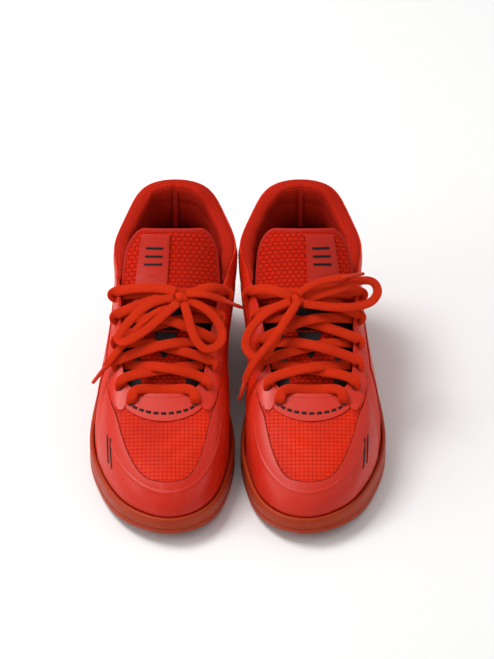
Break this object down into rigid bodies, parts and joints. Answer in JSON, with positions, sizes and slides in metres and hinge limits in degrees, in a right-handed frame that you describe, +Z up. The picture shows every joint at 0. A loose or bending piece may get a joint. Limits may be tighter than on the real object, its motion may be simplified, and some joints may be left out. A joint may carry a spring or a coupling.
{
  "type": "basketball high top",
  "caption": "Pair of laced basketball high tops with rubber cup soles, film overlays, padded collars and folding tongues.",
  "frame": {"origin": "on the floor, midway between the two shoes and midway along them", "axes": "+Z up, toes towards -Y, the right foot's shoe at -X and the left foot's shoe at +X"},
  "size_m": [0.2206, 0.292, 0.139],
  "materials": {
    "outsole_rubber": "matt translucent orange-red rubber",
    "sole_foam": "matt foam",
    "shank_plastic": "matt",
    "board": "matt fibre board",
    "insole_foam": "matt fabric over foam",
    "ripstop": "coated ripstop with a fine grid",
    "stiffener": "matt",
    "film": "smooth bonded film with a soft sheen",
    "lining": "matt mesh",
    "collar_mesh": "matt fine mesh",
    "tongue_mesh": "matt dimpled mesh",
    "label_film": "smooth film with a soft sheen",
    "black_print": "smooth black film",
    "lace_weave": "matt woven",
    "aglet_plastic": "smooth"
  },
  "bodies": {
    "right_shoe": {"right_aglets": "aglet_plastic", "right_collar_pad_lateral": "collar_mesh", "right_collar_pad_medial": "collar_mesh", "right_eyestay_lateral": "film", "right_eyestay_medial": "film", "right_heel_counter": "stiffener", "right_heel_cup": "film", "right_insole": "insole_foam", "right_lace_end_lateral": "lace_weave", "right_lace_end_medial": "lace_weave", "right_lace_knot": "lace_weave", "right_lace_loop_lateral": "lace_weave", "right_lace_loop_medial": "lace_weave", "right_laces": "lace_weave", "right_lasting_board": "board", "right_linings": "lining", "right_midsole": "sole_foam", "right_outsole": "outsole_rubber", "right_quarter_lateral": "ripstop", "right_quarter_medial": "ripstop", "right_shank_plate": "shank_plastic", "right_side_films": "film", "right_toe_guard": "film", "right_toe_puff": "stiffener", "right_vamp": "ripstop", "right_vamp_band": "film"},
    "right_tongue": {"right_tongue": "tongue_mesh", "right_tongue_emblem": "black_print", "right_tongue_label": "label_film"},
    "left_shoe": {"left_aglets": "aglet_plastic", "left_collar_pad_lateral": "collar_mesh", "left_collar_pad_medial": "collar_mesh", "left_eyestay_lateral": "film", "left_eyestay_medial": "film", "left_heel_counter": "stiffener", "left_heel_cup": "film", "left_insole": "insole_foam", "left_lace_end_lateral": "lace_weave", "left_lace_end_medial": "lace_weave", "left_lace_knot": "lace_weave", "left_lace_loop_lateral": "lace_weave", "left_lace_loop_medial": "lace_weave", "left_laces": "lace_weave", "left_lasting_board": "board", "left_linings": "lining", "left_midsole": "sole_foam", "left_outsole": "outsole_rubber", "left_quarter_lateral": "ripstop", "left_quarter_medial": "ripstop", "left_shank_plate": "shank_plastic", "left_side_films": "film", "left_toe_guard": "film", "left_toe_puff": "stiffener", "left_vamp": "ripstop", "left_vamp_band": "film"},
    "left_tongue": {"left_tongue": "tongue_mesh", "left_tongue_emblem": "black_print", "left_tongue_label": "label_film"}
  },
  "joints": [
    {"name": "left_shoe_slide", "type": "slide", "parent": "right_shoe", "child": "left_shoe", "axis": [1, 0, 0], "range_m": [0, 0.15]},
    {"name": "right_tongue_fold", "type": "hinge", "parent": "right_shoe", "child": "right_tongue", "pos_m": [-0.0547, -0.054, 0.056], "axis": [1, 0, 0], "range_deg": [-8, 0]},
    {"name": "left_tongue_fold", "type": "hinge", "parent": "left_shoe", "child": "left_tongue", "pos_m": [0.0547, -0.054, 0.056], "axis": [1, 0, 0], "range_deg": [-8, 0]}
  ]
}
